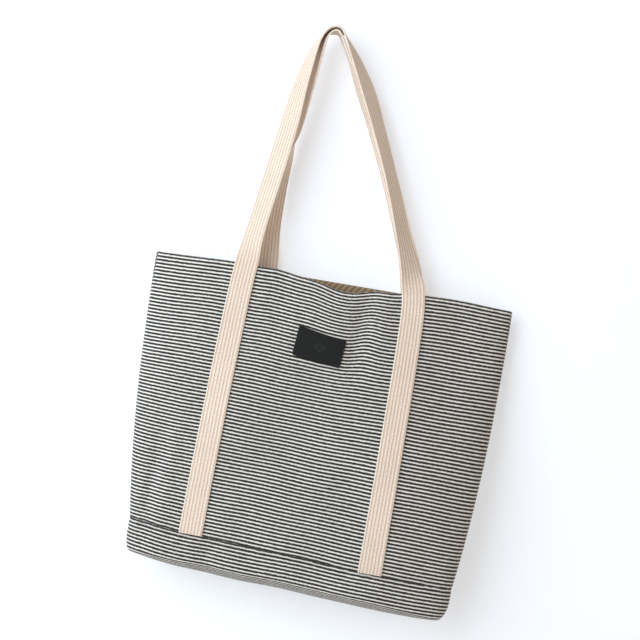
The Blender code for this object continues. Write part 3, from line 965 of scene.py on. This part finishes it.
def on_label(along, up, out):
    """Points over the front wall: along and up from the label's centre, and out from its underside."""
    step = 0.5 * MM
    base = bend_terms(along, up) @ LABEL_FIT
    right = bend_terms(along + step, up) @ LABEL_FIT - base
    upward = bend_terms(along, up + step) @ LABEL_FIT - base
    return base + unit(np.cross(right, upward)) * np.asarray(out)[..., None]


def rounded_inside(along, up, half_long, half_tall, corner):
    """Distance inwards from the edge of a rounded rectangle."""
    dx = np.abs(along) - (half_long - corner)
    dz = np.abs(up) - (half_tall - corner)
    outside = np.hypot(np.clip(dx, 0, None), np.clip(dz, 0, None))
    return corner - outside - np.minimum(np.maximum(dx, dz), 0)


def label_height(along, up):
    """Thickness of the leather here: a rolled edge, a sewn channel and a plain pressed lozenge."""
    half_long, half_tall = LABEL_SIZE[0] / 2, LABEL_SIZE[1] / 2
    inside = rounded_inside(along, up, half_long, half_tall, LABEL_CORNER)
    height = LABEL_THICKNESS * (0.62 + 0.38 * ease(inside / (0.9 * MM)))
    height = height - 0.22 * MM * np.exp(-(((inside - LABEL_SEAM_INSET) / (0.45 * MM)) ** 2))
    lozenge = np.abs(along) / LOZENGE[0] + np.abs(up) / LOZENGE[1]
    for size in LOZENGE_LINES:
        height = height - 0.45 * MM * np.exp(-(((lozenge - size) / 0.10) ** 2))
    return height


def leather_label():
    """The label: a grid pulled in at its rounded corners, its underside and a rim between them."""
    half_long, half_tall = LABEL_SIZE[0] / 2, LABEL_SIZE[1] / 2
    columns, rows = 111, 69
    along, up = np.meshgrid(np.linspace(-1, 1, columns), np.linspace(1, -1, rows))
    corner = LABEL_CORNER
    along, up = along * half_long, up * half_tall
    dx = np.clip(np.abs(along) - (half_long - corner), 0, None) / corner
    dz = np.clip(np.abs(up) - (half_tall - corner), 0, None) / corner
    pull = np.where((dx > 0) & (dz > 0), np.maximum(dx, dz) / np.hypot(dx, dz).clip(1e-9), 1.0)
    along_r = np.sign(along) * (np.minimum(np.abs(along), half_long - corner) + dx * pull * corner)
    up_r = np.sign(up) * (np.minimum(np.abs(up), half_tall - corner) + dz * pull * corner)
    top = on_label(along_r, up_r, LABEL_GAP + label_height(along_r, up_r))
    under = on_label(along_r, up_r, np.full_like(along, LABEL_GAP))
    verts = np.concatenate([top.reshape(-1, 3), under.reshape(-1, 3)])
    faces = [f[::-1] for f in grid_faces(rows, columns)]
    count = rows * columns
    faces += [tuple(count + i for i in f[::-1]) for f in faces]
    rim = list(range(columns)) + [r * columns + columns - 1 for r in range(1, rows)]
    rim += list(range(count - 2, count - columns - 1, -1))
    rim += [r * columns for r in range(rows - 2, 0, -1)]
    for here, after in zip(rim, rim[1:] + rim[:1]):
        faces.append((here, after, count + after, count + here))
    places_on_label = np.tile(np.column_stack([along_r.ravel(), up_r.ravel()]), (2, 1))
    obj = face_outwards(make_piece("leather_patch", verts, faces, LEATHER_LOOK, places_on_label))
    obj.data.set_sharp_from_angle(angle=math.radians(50))
    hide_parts("leather_label")
    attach(obj, UPPER)


def label_stitches():
    """One row along each edge: two level ones and two upright."""
    half_long, half_tall = (size / 2 - LABEL_SEAM_INSET for size in LABEL_SIZE)
    rows = []
    for reach, fixed, level in (
        (half_long, half_tall, True),
        (half_long, -half_tall, True),
        (half_tall, half_long, False),
        (half_tall, -half_long, False),
    ):
        count = round(2 * reach / (2.7 * MM))
        t = (np.arange(count) + 0.5) * 2 * reach / count - reach
        still = np.full_like(t, fixed)
        along, up = (t, still) if level else (still, t)
        height = LABEL_GAP + label_height(along, up) + 0.05 * MM
        middle = on_label(along, up, height)
        step = 0.5 * MM
        ahead = on_label(along + step * level, up + step * (not level), height)
        behind = on_label(along - step * level, up - step * (not level), height)
        out = on_label(along, up, height + MM) - middle
        rows.append((middle, unit(ahead - behind), unit(out)))
    obj = stitch_mesh("label_thread", rows, BLACK_THREAD, 2.0 * MM, 0.24 * MM)
    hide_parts("label_stitching")
    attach(obj, UPPER)


leather_label()
label_stitches()


# ---- Stage, light and camera ------------------------------------------------------------------
VIEW_ROLL = math.radians(-10.5)
LENS = 80.0
DISTANCE = 1.79
AIM = (-9.3 * MM, 0.0, -50.2 * MM)
WALL_Y = 30 * MM  # behind the bag's own zero
FLOOR_Z = BASE_Z - 0.50
WALL_TOP = 2.6
STAGE_REACH = 3.0
LIT_POINT = (0, 0, -0.05)


def matt_material(name, colour):
    material = bpy.data.materials.new(name)
    material.use_nodes = True
    shader = material.node_tree.nodes["Principled BSDF"]
    shader.inputs["Base Color"].default_value = (*colour, 1)
    shader.inputs["Roughness"].default_value = 0.9
    shader.inputs["Specular IOR Level"].default_value = 0.1
    return material


def plane(name, corners, material):
    mesh = bpy.data.meshes.new(name)
    mesh.from_pydata([tuple(c) for c in to_frame(corners)], [], [(0, 1, 2, 3)])
    mesh.materials.append(material)
    obj = bpy.data.objects.new(name, mesh)
    bpy.context.scene.collection.objects.link(obj)
    return obj


def backdrop():
    """A wall seen only from the front. It catches the bag's shadow and hides nothing from behind."""
    material = matt_material("pale_wall", (0.64, 0.67, 0.73))
    tree = material.node_tree
    shader = tree.nodes["Principled BSDF"]
    shader.inputs["Emission Color"].default_value = (1, 1, 1, 1)
    shader.inputs["Emission Strength"].default_value = 0.36
    clear = tree.nodes.new("ShaderNodeBsdfTransparent")
    choose = tree.nodes.new("ShaderNodeMixShader")
    facing = tree.nodes.new("ShaderNodeNewGeometry")
    tree.links.new(facing.outputs["Backfacing"], choose.inputs[0])
    tree.links.new(shader.outputs[0], choose.inputs[1])
    tree.links.new(clear.outputs[0], choose.inputs[2])
    tree.links.new(choose.outputs[0], tree.nodes["Material Output"].inputs["Surface"])
    low_left, low_right = (-STAGE_REACH, WALL_Y, FLOOR_Z), (STAGE_REACH, WALL_Y, FLOOR_Z)
    high_right, high_left = (STAGE_REACH, WALL_Y, WALL_TOP), (-STAGE_REACH, WALL_Y, WALL_TOP)
    wall = plane("wall", [low_left, low_right, high_right, high_left], material)
    wall.visible_shadow = False
    wall.visible_diffuse = False
    wall.visible_glossy = False


def floor():
    signs = ((-1, -1), (1, -1), (1, 1), (-1, 1))
    corners = [(x * STAGE_REACH, y * STAGE_REACH, FLOOR_Z) for x, y in signs]
    plane("floor", corners, matt_material("pale_floor", (0.8, 0.8, 0.8)))


def area_light(name, place, size, power, colour=(1, 1, 1)):
    """A round light aimed at the bag."""
    light = bpy.data.lights.new(name, "AREA")
    light.shape = "DISK"
    light.size = size
    light.energy = power
    light.color = colour
    obj = bpy.data.objects.new(name, light)
    obj.location = to_frame(place)
    direction = Vector(to_frame(LIT_POINT)) - obj.location
    obj.rotation_mode = "QUATERNION"
    obj.rotation_quaternion = direction.to_track_quat("-Z", "Y")
    bpy.context.scene.collection.objects.link(obj)


def lights():
    area_light("window_left", (-1.25, -1.15, 0.5), 2.3, 45.0, (0.84, 0.935, 1.0))
    area_light("fill_right", (2.2, -1.0, 0.2), 1.8, 9.0, (1.0, 0.81, 0.63))
    area_light("back_left", (-1.3, 1.7, 0.8), 1.4, 20)
    area_light("back_right", (1.5, 1.6, 0.4), 1.4, 14)
    world = bpy.data.worlds.new("soft_daylight")
    world.use_nodes = True
    world.node_tree.nodes["Background"].inputs[0].default_value = (1.0, 0.95, 0.88, 1)
    world.node_tree.nodes["Background"].inputs[1].default_value = 0.40
    bpy.context.scene.world = world


def camera():
    """Level with a point a little below the mouth, straight at the wall, and rolled as the bag hangs."""
    data = bpy.data.cameras.new("camera")
    data.lens = LENS
    data.sensor_width = 36.0
    obj = bpy.data.objects.new("camera", data)
    obj.location = to_frame((AIM[0], -DISTANCE, AIM[2]))
    obj.rotation_mode = "XYZ"
    obj.rotation_euler = (math.pi / 2, VIEW_ROLL, 0)
    bpy.context.scene.collection.objects.link(obj)
    bpy.context.scene.camera = obj


backdrop()
floor()
lights()
camera()
bpy.context.scene.view_settings.view_transform = "Standard"
